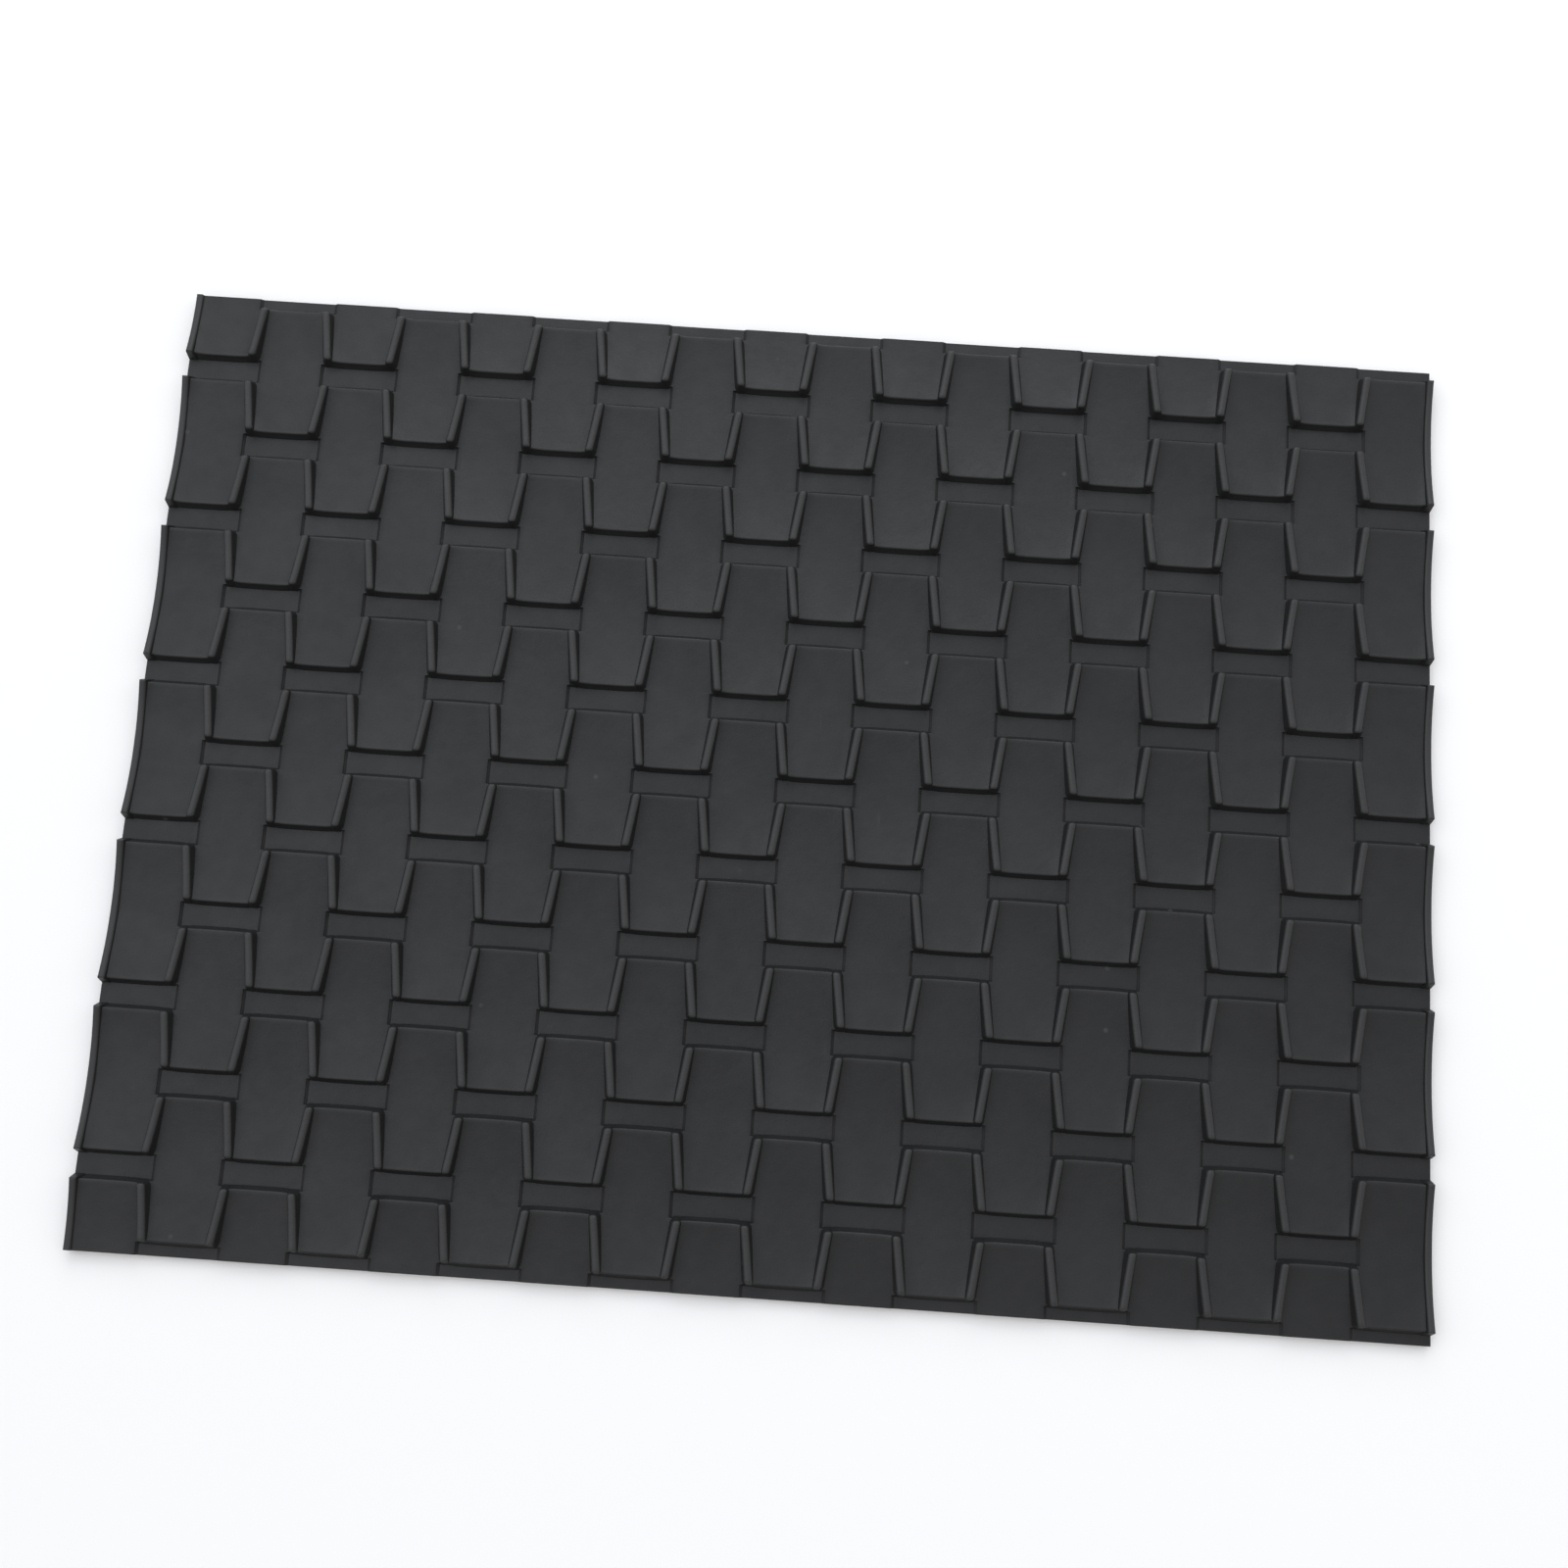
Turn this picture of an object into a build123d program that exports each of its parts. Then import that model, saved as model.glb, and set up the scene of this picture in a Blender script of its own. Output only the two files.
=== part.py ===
from build123d import *
import os

# Rubber traction mat with a basket-weave relief, in millimetres.
# X runs across the mat (the long side), Y runs along it, Z is up.
# The origin is under the middle of the mat, on the surface that it lies on.
# The relief repeats in staggered columns of lugs. A lug is a strap that is low at its middle
# and turns up at both ends, like one visible strap of a basket weave. Slanted ribs stand
# on the seams between neighbouring columns, and lips stand on the two outer sides.

os.makedirs("parts", exist_ok=True)

# Layout of the pattern.
COLUMN_COUNT = 18
HALF_ROW_COUNT = 12
COLUMN_PITCH = 25.0
HALF_ROW_PITCH = 28.25

# Thickness of the web under the relief.
WEB_THICKNESS = 3.0
WEB_EDGE_CHAMFER = 0.4

# Lugs: heights are above the web.
LUG_MIDDLE_HEIGHT = 0.7
LUG_END_HEIGHT = 2.9
LUG_END_ROUND = 0.6
CHANNEL_WIDTH = 8.6

# Seams: how far a seam leans to each side of the column line, and how much the waist of a lug
# is set back from its ribs beside the end of a neighbour's channel.
SEAM_LEAN = 1.4
WAIST_STEP = 1.4

# Seam ribs.
RIB_WIDTH = 2.6
RIB_HEIGHT = 4.9
RIB_ROUND = 0.8

# Lips along the two outer sides.
LIP_WIDTH = 2.6
LIP_MIDDLE_HEIGHT = 1.65
LIP_END_HEIGHT = 4.9
LIP_ROUND = 0.5

# Values that follow from the sizes above.
MAT_WIDTH = COLUMN_COUNT * COLUMN_PITCH
MAT_LENGTH = HALF_ROW_COUNT * HALF_ROW_PITCH
COLUMN_HALF = COLUMN_PITCH / 2
CHANNEL_HALF = CHANNEL_WIDTH / 2
LUG_HALF_LENGTH = HALF_ROW_PITCH - CHANNEL_HALF
RIB_HALF = RIB_WIDTH / 2
SEAM_WIDE = COLUMN_HALF + SEAM_LEAN - RIB_HALF
SEAM_NARROW = COLUMN_HALF - SEAM_LEAN - RIB_HALF
WAIST_HALF = SEAM_WIDE - WAIST_STEP
OUTER_HALF = COLUMN_HALF - LIP_WIDTH
BLOCK_HEIGHT = WEB_THICKNESS + max(RIB_HEIGHT, LIP_END_HEIGHT, LUG_END_HEIGHT)
TOP_PLANE = Plane.XY.offset(WEB_THICKNESS)


def column_x(column):
    """Centre line of a column, counted from 0 at the left."""
    return (column + 0.5) * COLUMN_PITCH - MAT_WIDTH / 2


def lug_rows(column):
    """Half-row lines on which the lugs of a column are centred."""
    first = column % 2
    return [row for row in range(first, HALF_ROW_COUNT + 1, 2)]


def row_y(row):
    """Place of a half-row line along the mat, counted from 0 at the far edge."""
    return MAT_LENGTH / 2 - row * HALF_ROW_PITCH


def side_points(seam):
    """Outline points of one side of a lug, from its far end to its near end."""
    if not seam:
        return [(OUTER_HALF, LUG_HALF_LENGTH), (OUTER_HALF, -LUG_HALF_LENGTH)]
    upper = [
        (SEAM_NARROW, LUG_HALF_LENGTH),
        (SEAM_WIDE, CHANNEL_HALF),
        (WAIST_HALF, CHANNEL_HALF),
    ]
    lower = [(x, -y) for x, y in reversed(upper)]
    return upper + lower


def curved_profile(middle_height, end_height):
    """Side view of a strap that is flat below and turns up towards both ends."""
    with BuildLine() as outline:
        ThreePointArc(
            (-LUG_HALF_LENGTH, end_height),
            (0, middle_height),
            (LUG_HALF_LENGTH, end_height),
        )
        Polyline(
            (LUG_HALF_LENGTH, end_height),
            (LUG_HALF_LENGTH, 0),
            (-LUG_HALF_LENGTH, 0),
            (-LUG_HALF_LENGTH, end_height),
        )
    return outline.line


# Everything that stands on the web stays inside this block.
with BuildPart() as mat_block:
    with BuildSketch():
        Rectangle(MAT_WIDTH, MAT_LENGTH)
    extrude(amount=BLOCK_HEIGHT)


# Web: the flat sheet that carries the relief. Its bare strips are the channels.
with BuildPart() as web_sheet:
    with BuildSketch():
        Rectangle(MAT_WIDTH, MAT_LENGTH)
    extrude(amount=WEB_THICKNESS)
    chamfer(web_sheet.faces().sort_by(Axis.Z)[0].edges(), WEB_EDGE_CHAMFER)

web_sheet.part.label = "web_sheet"
export_step(web_sheet.part, "parts/web_sheet.step")


def make_lug(left_seam, right_seam):
    """One whole lug about its own centre, on the web."""
    right = side_points(right_seam)
    left = [(-x, y) for x, y in reversed(side_points(left_seam))]
    with BuildPart() as lug:
        with BuildSketch(TOP_PLANE):
            with BuildLine():
                Polyline(*right, *left, close=True)
            make_face()
        extrude(amount=LUG_END_HEIGHT)
        with BuildSketch(Plane.YZ.offset(-COLUMN_PITCH).shift_origin((-COLUMN_PITCH, 0, WEB_THICKNESS))):
            with BuildLine():
                add(curved_profile(LUG_MIDDLE_HEIGHT, LUG_END_HEIGHT))
            make_face()
        extrude(amount=2 * COLUMN_PITCH, mode=Mode.INTERSECT)
        ends = lug.edges().filter_by(Axis.X).group_by(Axis.Z)[-1]
        fillet(ends, LUG_END_ROUND)
    return lug.part


for column in range(COLUMN_COUNT):
    name = f"lug_column_{column + 1:02d}"
    lug_shape = make_lug(column > 0, column < COLUMN_COUNT - 1)
    with BuildPart() as lug_column:
        with Locations(*[(column_x(column), row_y(row)) for row in lug_rows(column)]):
            add(lug_shape)
        add(mat_block.part, mode=Mode.INTERSECT)
    lug_column.part.label = name
    export_step(lug_column.part, f"parts/{name}.step")


def make_rib(lean):
    """One seam rib about the middle of its half row; lean is +1 or -1."""
    reach = HALF_ROW_PITCH / 2 - CHANNEL_HALF
    shift = lean * SEAM_LEAN
    with BuildPart() as rib:
        with BuildSketch(TOP_PLANE):
            with BuildLine():
                Polyline(
                    (shift - RIB_HALF, reach),
                    (shift + RIB_HALF, reach),
                    (-shift + RIB_HALF, -reach),
                    (-shift - RIB_HALF, -reach),
                    close=True,
                )
            make_face()
        extrude(amount=RIB_HEIGHT)
        fillet(rib.faces().sort_by(Axis.Z)[-1].edges(), RIB_ROUND)
    return rib.part


for seam in range(1, COLUMN_COUNT):
    name = f"seam_rib_row_{seam:02d}"
    seam_x = seam * COLUMN_PITCH - MAT_WIDTH / 2
    with BuildPart() as seam_ribs:
        for half_row in range(HALF_ROW_COUNT):
            # A column is wide beside a channel end of its neighbour, so the ribs zigzag.
            rib_lean = 1 if (seam - 1) % 2 == half_row % 2 else -1
            with Locations((seam_x, row_y(half_row + 0.5))):
                add(make_rib(rib_lean))
    seam_ribs.part.label = name
    export_step(seam_ribs.part, f"parts/{name}.step")


def make_lip():
    """One whole outer lip about its own centre, with the same upturned ends as a lug."""
    with BuildPart() as lip:
        with BuildSketch(Plane.YZ.shift_origin((0, 0, WEB_THICKNESS))):
            with BuildLine():
                add(curved_profile(LIP_MIDDLE_HEIGHT, LIP_END_HEIGHT))
            make_face()
        extrude(amount=LIP_WIDTH / 2, both=True)
        ends = lip.edges().filter_by(Axis.X).group_by(Axis.Z)[-1]
        fillet(ends, LIP_ROUND)
    return lip.part


for name, column, side in (
    ("outer_lip_left", 0, -1),
    ("outer_lip_right", COLUMN_COUNT - 1, 1),
):
    lip_x = column_x(column) + side * (COLUMN_HALF - LIP_WIDTH / 2)
    with BuildPart() as outer_lip:
        with Locations(*[(lip_x, row_y(row)) for row in lug_rows(column)]):
            add(make_lip())
        add(mat_block.part, mode=Mode.INTERSECT)
    outer_lip.part.label = name
    export_step(outer_lip.part, f"parts/{name}.step")
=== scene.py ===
"""Looks of a moulded rubber traction mat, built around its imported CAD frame.

The mat is a flat web that carries a basket-weave relief: staggered columns of upturned lugs,
slanted ribs on the seams between the columns, and a lip along each outer side. Every piece here
stands for the CAD node of the same feature and is a finer mesh of it, in metres and in the
frame's own axes.
"""

import logging
import math
from dataclasses import dataclass, field
from enum import Enum

import bpy
import numpy as np
from mathutils import Matrix, Vector

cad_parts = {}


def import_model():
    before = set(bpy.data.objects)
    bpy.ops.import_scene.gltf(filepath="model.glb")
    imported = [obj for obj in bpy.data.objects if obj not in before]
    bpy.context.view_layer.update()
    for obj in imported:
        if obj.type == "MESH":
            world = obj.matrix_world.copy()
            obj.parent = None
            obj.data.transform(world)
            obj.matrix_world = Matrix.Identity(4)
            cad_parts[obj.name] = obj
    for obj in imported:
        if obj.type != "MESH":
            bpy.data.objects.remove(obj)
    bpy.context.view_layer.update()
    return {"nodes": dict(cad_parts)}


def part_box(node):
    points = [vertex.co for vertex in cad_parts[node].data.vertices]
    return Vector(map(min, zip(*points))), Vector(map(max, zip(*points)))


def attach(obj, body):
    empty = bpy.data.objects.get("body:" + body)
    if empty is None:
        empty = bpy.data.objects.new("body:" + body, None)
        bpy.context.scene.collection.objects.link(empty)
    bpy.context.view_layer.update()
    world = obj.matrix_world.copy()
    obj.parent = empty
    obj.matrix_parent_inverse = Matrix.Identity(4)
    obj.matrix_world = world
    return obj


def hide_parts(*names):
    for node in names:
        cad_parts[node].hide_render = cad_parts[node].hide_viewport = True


LOG = logging.getLogger("traction_mat")
MM = 0.001
BODY = "root"
# Name of the point attribute of painted light: painted highlight above 0, painted shade below 0.
PAINTED_LIGHT = "painted_light"
CREASE_DEGREES = 50.0
ROUNDING_LINES = 6
EDGE_LINES = 5
FLAT_RADIUS_SHARE = 0.35
LINE_DIGITS = 7

Array = np.ndarray
Face = tuple[int, ...]
Point = tuple[float, float, float]
Colour = tuple[float, float, float]
Paint = tuple[float, float, float, float]


class Side(Enum):
    """The side of the mat on which an outer lip stands."""

    LEFT = -1
    RIGHT = 1


class Cut(Enum):
    """Which half of a lug or a lip the edge of the mat leaves."""

    WHOLE = (-1, 1)
    NEAR_HALF = (-1, 0)
    FAR_HALF = (0, 1)


# --- Layout ---


@dataclass(frozen=True)
class Layout:
    """Places of columns, half rows and seams, worked out from the frame's own boxes.

    Attributes:
        width: Size of the mat along X.
        length: Size of the mat along Y.
        web_top: Height of the web's upper face.
        channel_half: Half of the width of a channel between two lug ends.
        rib_height: Height of a seam rib above the web.
        lip_width: Width of an outer lip.
        columns: Number of lug columns.
        half_rows: Number of half rows.
    """

    width: float
    length: float
    web_top: float
    channel_half: float
    rib_height: float
    lip_width: float
    columns: int
    half_rows: int = 12

    @classmethod
    def from_frame(cls, nodes: dict[str, bpy.types.Object]) -> "Layout":
        """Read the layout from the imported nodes.

        Args:
            nodes: The frame's CAD nodes by name.

        Returns:
            The layout of the mat.
        """
        web_low, web_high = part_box("web_sheet")
        rib_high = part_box("seam_rib_row_01")[1]
        lip_low, lip_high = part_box("outer_lip_left")
        return cls(
            width=web_high.x - web_low.x,
            length=web_high.y - web_low.y,
            web_top=web_high.z,
            channel_half=web_high.y - rib_high.y,
            rib_height=rib_high.z - web_high.z,
            lip_width=lip_high.x - lip_low.x,
            columns=sum(name.startswith("lug_column_") for name in nodes),
        )

    @property
    def pitch_x(self) -> float:
        """Width of one column."""
        return self.width / self.columns

    @property
    def pitch_y(self) -> float:
        """Length of one half row."""
        return self.length / self.half_rows

    @property
    def lug_half(self) -> float:
        """Half of the length of a whole lug."""
        return self.pitch_y - self.channel_half

    def column_x(self, column: int) -> float:
        """Return the centre line of a column, counted from 0 at the left."""
        return (column + 0.5) * self.pitch_x - self.width / 2

    def seam_x(self, seam: int) -> float:
        """Return the line of a seam, counted from 1 after the first column."""
        return seam * self.pitch_x - self.width / 2

    def row_y(self, row: float) -> float:
        """Return the place of a half-row line, counted from 0 at the far edge."""
        return self.length / 2 - row * self.pitch_y

    def lug_rows(self, column: int) -> list[int]:
        """Return the half-row lines on which a column's lugs are centred."""
        return list(range(column % 2, self.half_rows + 1, 2))

    def cut_of(self, row: int) -> Cut:
        """Tell which part of a lug lies on the mat.

        Args:
            row: The half-row line that the lug is centred on.

        Returns:
            The part that the mat's edge leaves.
        """
        if row == 0:
            return Cut.NEAR_HALF
        if row == self.half_rows:
            return Cut.FAR_HALF
        return Cut.WHOLE


# --- Mesh building ---


@dataclass(frozen=True)
class Wall:
    """Section of a moulded wall: a draft that ends in a rounded top edge.

    Attributes:
        run: How far the draft runs in, seen from above.
        radius: Radius of the top edge.
        bulge: Power of the top edge's curve: 2 is round, more is squarer.
    """

    run: float
    radius: float
    bulge: float = 2.0

    @property
    def reach(self) -> float:
        """How far in from its foot the wall ends."""
        return self.run + self.radius

    def lines(self) -> Array:
        """Return the distances in from the foot at which a mesh needs lines."""
        angles = np.linspace(0, math.pi / 2, ROUNDING_LINES)
        return np.concatenate([[0.0, self.run * 0.5], self.reach - self.radius * np.cos(angles)])

    def height(self, distance: Array, full: Array) -> Array:
        """Return the height of the wall.

        Args:
            distance: How far in from the foot each point lies.
            full: Full height of the piece at each point.

        Returns:
            The height of each point above the foot, and below zero outside the foot.
        """
        radius = np.minimum(self.radius, FLAT_RADIUS_SHARE * full)
        reach = self.run + radius
        draft = (full - radius) * distance / self.run
        inside = np.clip(reach - distance, 0, radius)
        share = np.maximum(1 - (inside / radius) ** self.bulge, 0) ** (1 / self.bulge)
        return np.where(distance < self.run, draft, full - radius + radius * share)


def corner_distance(across: Array, along: Array, radius: float) -> Array:
    """Return how far in from a rounded outline points lie.

    Args:
        across: Distance in from the nearer side of each point.
        along: Distance in from the nearer end of each point.
        radius: Radius of the outline's corners.

    Returns:
        The distance in from the outline, below zero outside its corners.
    """
    rounded = radius - np.hypot(radius - across, radius - along)
    in_corner = (across < radius) & (along < radius)
    return np.where(in_corner, rounded, np.minimum(across, along))


def crest_highlight(height: Array, full: Array, depth: float) -> Array:
    """Return how strong the painted highlight is along the crest of a piece.

    Args:
        height: Height of each point.
        full: Height of the crest at each point.
        depth: How far below the crest the painted highlight ends.

    Returns:
        The painted highlight of each point, from 0 to 1.
    """
    share = np.clip(1 - (full - height) / depth, 0, 1)
    return share * share * (3 - 2 * share)


def spread(low: float, high: float, step: float) -> Array:
    """Return evenly spaced values between two bounds, without the bounds themselves."""
    count = max(int(round((high - low) / step)), 2)
    return np.linspace(low, high, count + 1)[1:-1]


def ridge(distance: Array, width: float) -> Array:
    """Return a soft line: 1 at no distance from its middle, fading to 0 over its width."""
    return np.exp(-((distance / width) ** 2))


def border_of(index: Array) -> list[int]:
    """Return the border of a grid of point numbers, counter-clockwise from above."""
    ring = [*index[0, :-1], *index[:-1, -1], *index[-1, :0:-1], *index[:0:-1, 0]]
    return [int(number) for number in ring]


def smooth_piece(name: str, mesh: bpy.types.Mesh) -> bpy.types.Object:
    """Smooth a mesh but for its sharp edges, and link it to the scene.

    Args:
        name: Name of the piece.
        mesh: The finished mesh.

    Returns:
        The object.
    """
    mesh.validate()
    mesh.shade_smooth()
    mesh.set_sharp_from_angle(angle=math.radians(CREASE_DEGREES))
    piece = bpy.data.objects.new(name, mesh)
    bpy.context.scene.collection.objects.link(piece)
    return piece


@dataclass
class Skin:
    """A growing mesh of closed patches.

    Attributes:
        floor: Height of the flat underside of every patch.
        points: Points of each patch.
        painted_light: Painted light of those points: painted highlight above 0, painted shade
            below 0.
        faces: Faces of all patches, as numbers of points.
        count: Number of points so far.
    """

    floor: float
    points: list[Array] = field(default_factory=list)
    painted_light: list[Array] = field(default_factory=list)
    faces: list[Face] = field(default_factory=list)
    count: int = 0

    def add_patch(self, grid: Array, painted_light: Array) -> None:
        """Add a patch: a grid of points whose border is brought down to the floor.

        Args:
            grid: Points as an array of rows, columns and three coordinates, with rows along Y
                and columns along X, both rising.
            painted_light: Painted light at each point: a painted highlight from 0 to 1, or a
                painted shade below 0.
        """
        rows, columns = grid.shape[:2]
        grid = grid.copy()
        grid[..., 2] = np.maximum(grid[..., 2], self.floor)
        for border in (grid[0], grid[-1], grid[:, 0], grid[:, -1]):
            border[:, 2] = self.floor
        index = np.arange(rows * columns).reshape(rows, columns) + self.count
        corners = [index[:-1, :-1], index[:-1, 1:], index[1:, 1:], index[1:, :-1]]
        quads = np.stack(corners, axis=-1)
        self.faces += [tuple(quad) for quad in quads.reshape(-1, 4).tolist()]
        self.faces.append(tuple(reversed(border_of(index))))
        self.points.append(grid.reshape(-1, 3))
        self.painted_light.append(painted_light.reshape(-1))
        self.count += rows * columns

    def to_object(self, name: str) -> bpy.types.Object:
        """Return the finished mesh as an object.

        Args:
            name: Name of the piece.

        Returns:
            The object, linked to the scene.
        """
        mesh = bpy.data.meshes.new(name)
        mesh.from_pydata(np.concatenate(self.points).tolist(), [], self.faces)
        # Each point's painted highlight and painted shade go into a mesh attribute.
        painted_light_mark = mesh.attributes.new(PAINTED_LIGHT, "FLOAT", "POINT")
        painted_light_mark.data.foreach_set("value", np.concatenate(self.painted_light).astype(np.float32))
        return smooth_piece(name, mesh)


def place(piece: bpy.types.Object, node: str, slot: str, material: bpy.types.Material) -> None:
    """Dress a piece and put it in the place of its CAD node.

    Args:
        piece: The finished mesh object.
        node: The CAD node that it stands for.
        slot: The record's material slot of that node; not used.
        material: The piece's finish.
    """
    piece.data.materials.append(material)
    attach(piece, BODY)
    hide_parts(node)
    LOG.info("%s: %d faces, for %s", piece.name, len(piece.data.polygons), node)


# --- Sub-assemblies ---


@dataclass
class Relief:
    """What every piece of the relief needs to know.

    Attributes:
        layout: Places of the pattern.
        material: Finish of the pieces.
        sunk: How far a patch goes down into the web.
        inset: How far a cut face stays inside the web's own edge.
        mesh_step: Usual distance between mesh lines.
        spread: How far the foot of an end wall stands out past the nominal end.
    """

    layout: Layout
    material: bpy.types.Material
    spread: float = 1.0 * MM
    sunk: float = 0.3 * MM
    inset: float = 0.02 * MM
    mesh_step: float = 1.0 * MM

    def skin(self) -> Skin:
        """Return an empty mesh whose patches stand in the web."""
        return Skin(floor=self.layout.web_top - self.sunk)

    def end_lines(self, half: float, wall: Wall, cut: Cut, extra: Array) -> tuple[Array, Array]:
        """Return the mesh lines along a strap, and which of them lie on a cut face's foot.

        Args:
            half: Half of the strap's length.
            wall: Section of its ends.
            cut: Which part of the strap lies on the mat.
            extra: Further places, on the upper side, that need a line.

        Returns:
            Places of the lines from the near end up, and a mask of those that are a cut's foot.
        """
        ring = half - wall.lines()
        upper = np.concatenate([extra, spread(0, ring[-1], self.mesh_step), ring])
        upper = np.unique(np.round(upper, LINE_DIGITS))
        low, high = cut.value
        if low and high:
            lines = np.concatenate([-upper[::-1], [0.0], upper])
            return lines, np.zeros(len(lines), bool)
        lines = np.concatenate([[self.inset, self.inset], upper[upper > 2 * self.inset]])
        foot = np.zeros(len(lines), bool)
        foot[0] = True
        if low:
            return -lines[::-1], foot[::-1]
        return lines, foot


@dataclass
class LugColumn(Relief):
    """A column of upturned lugs, like the visible straps of a basket weave.

    Attributes:
        middle_height: Height of a lug's face at its middle.
        end_height: Height of a lug's face at its ends, on the centre line.
        corner_rise: How much higher the face stands beside the ribs at its ends.
        bend: Power with which the face turns up towards its ends.
        dish: Power with which the face rises towards the ribs.
        bow: How much shorter a lug is beside the ribs than on its centre line.
        bow_power: Power with which that sets in towards its ends.
        seam_lean: How far a seam leans to each side of the column line.
        waist_half: Half of a lug's width at its foot beside its neighbours' channels.
        shoulder: How far past a channel's nominal side the waist ends.
        shoulder_half: Half of the length over which the waist widens again.
        end_wall: Section of a lug's ends.
        waist_wall: Section of a lug's sides beside the channels.
        seam_wall: Section of a lug's sides under the ribs and lips.
        core_half: Half of the width over which the mesh lines run straight.
        edge_highlight: Strength of the painted highlight along the edges of a lug's ends.
        edge_highlight_width: How wide that painted highlight is.
        waist_shade: Strength of the painted shade along the foot of the waist walls.
        shade_width: How wide that painted shade line is.
        lip_gap: Share of an outer lip's width that a lug leaves free under it.
    """

    middle_height: float = 0.75 * MM
    end_height: float = 2.6 * MM
    corner_rise: float = 1.15 * MM
    bend: float = 2.1
    dish: float = 5.0
    bow: float = 0.45 * MM
    bow_power: int = 4
    seam_lean: float = 1.4 * MM
    waist_half: float = 12.2 * MM
    shoulder: float = 0.15 * MM
    shoulder_half: float = 0.2 * MM
    end_wall: Wall = Wall(1.3 * MM, 0.7 * MM)
    waist_wall: Wall = Wall(1.1 * MM, 0.5 * MM)
    seam_wall: Wall = Wall(0.4 * MM, 0.3 * MM)
    core_half: float = 9.0 * MM
    edge_highlight: float = 0.35
    edge_highlight_width: float = 0.5 * MM
    waist_shade: float = 0.4
    shade_width: float = 0.8 * MM
    lip_gap: float = 0.4

    @property
    def reach(self) -> float:
        """Half of a lug's length at its foot."""
        return self.layout.lug_half + self.spread

    def half_width(self, y: Array, waist: Array, seam: bool) -> Array:
        """Return half of a lug's width on one side.

        Args:
            y: Places along the lug, from its middle.
            waist: Which of those lie in the waist.
            seam: Whether the side is a seam with a neighbour, not an outer side of the mat.

        Returns:
            The half width at each place.
        """
        layout = self.layout
        if not seam:
            return np.full_like(y, layout.pitch_x / 2 - self.lip_gap * layout.lip_width)
        rib_half = (layout.lug_half - layout.channel_half) / 2
        share = (np.abs(y) - layout.channel_half - rib_half) / rib_half
        slanted = layout.pitch_x / 2 - self.seam_lean * np.minimum(share, 1)
        return np.where(waist, self.waist_half, slanted)

    def face_height(self, across: Array, y: Array) -> Array:
        """Return the height of a lug's face above the web.

        Args:
            across: Places across the lug, as shares of its half width.
            y: Places along the lug, from its middle.

        Returns:
            The height at each place.
        """
        along = np.minimum(np.abs(y) / self.layout.lug_half, 1)
        rise = (self.end_height - self.middle_height) * along**self.bend
        corners = self.corner_rise * along * np.abs(across) ** self.dish
        return self.middle_height + rise + corners

    def lug(self, column: int, row: int) -> tuple[Array, Array]:
        """Return the grid of one lug.

        Args:
            column: Its column.
            row: The half-row line that it is centred on.

        Returns:
            Points of the lug's skin, and their wear.
        """
        layout = self.layout
        shoulder = layout.channel_half + self.shoulder
        extra = np.array([shoulder - self.shoulder_half, shoulder + self.shoulder_half])
        y, foot = self.end_lines(self.reach, self.end_wall, layout.cut_of(row), extra)
        waist = np.abs(y) < shoulder
        left = self.half_width(y, waist, column > 0)[:, None]
        right = self.half_width(y, waist, column < layout.columns - 1)[:, None]
        left_wall = waist[:, None] & (column > 0)
        right_wall = waist[:, None] & (column < layout.columns - 1)
        narrow, wide = self.seam_wall.lines()[None, :], self.waist_wall.lines()[None, :]
        inner = spread(-1, 1, self.mesh_step / self.core_half)
        core = np.concatenate([[-1.0], inner, [1.0]])
        core = np.broadcast_to(core * self.core_half, (len(y), len(core)))
        low = np.where(left_wall, wide, narrow) - left
        high = right - np.where(right_wall, wide, narrow)
        x = np.concatenate([low, core, high[:, ::-1]], axis=1)
        ys = np.broadcast_to(y[:, None], x.shape)
        across = np.where(x < 0, x / left, x / right)
        full = self.face_height(across, ys)
        from_left, from_right = x + left, right - x
        from_end = self.reach - np.abs(ys)
        z = self.end_wall.height(from_end, full)
        for gap, wall in ((from_left, left_wall), (from_right, right_wall)):
            waisted = self.waist_wall.height(gap, full)
            z = np.minimum(z, np.where(wall, waisted, self.seam_wall.height(gap, full)))
        z[foot] = -self.sunk
        # Painted highlight: a lighter colour along the rounded edges of the lug's ends.
        painted_light_mark = self.edge_highlight * ridge(from_end - self.end_wall.reach, self.edge_highlight_width)
        # Painted shade: a darker colour along the foot of the waist walls at the channel ends.
        for gap, wall in ((from_left, left_wall), (from_right, right_wall)):
            crease_shade = ridge(gap - 0.5 * self.waist_wall.reach, self.shade_width)
            painted_light_mark = painted_light_mark - np.where(wall, self.waist_shade * crease_shade, 0)
        pull = self.bow * np.abs(across) ** self.dish * (np.abs(ys) / self.reach) ** self.bow_power
        shift = np.array([layout.column_x(column), layout.row_y(row), layout.web_top])
        return np.stack([x, ys - np.sign(ys) * pull, z], axis=-1) + shift, painted_light_mark

    def build(self, column: int) -> bpy.types.Object:
        """Build and place one column of lugs.

        Args:
            column: Number of the column, from 0 at the left.

        Returns:
            The finished piece.
        """
        skin = self.skin()
        for row in self.layout.lug_rows(column):
            skin.add_patch(*self.lug(column, row))
        piece = skin.to_object(f"rubber_lugs_{column + 1:02d}")
        place(piece, f"lug_column_{column + 1:02d}", "lug_rubber", self.material)
        return piece


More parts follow.
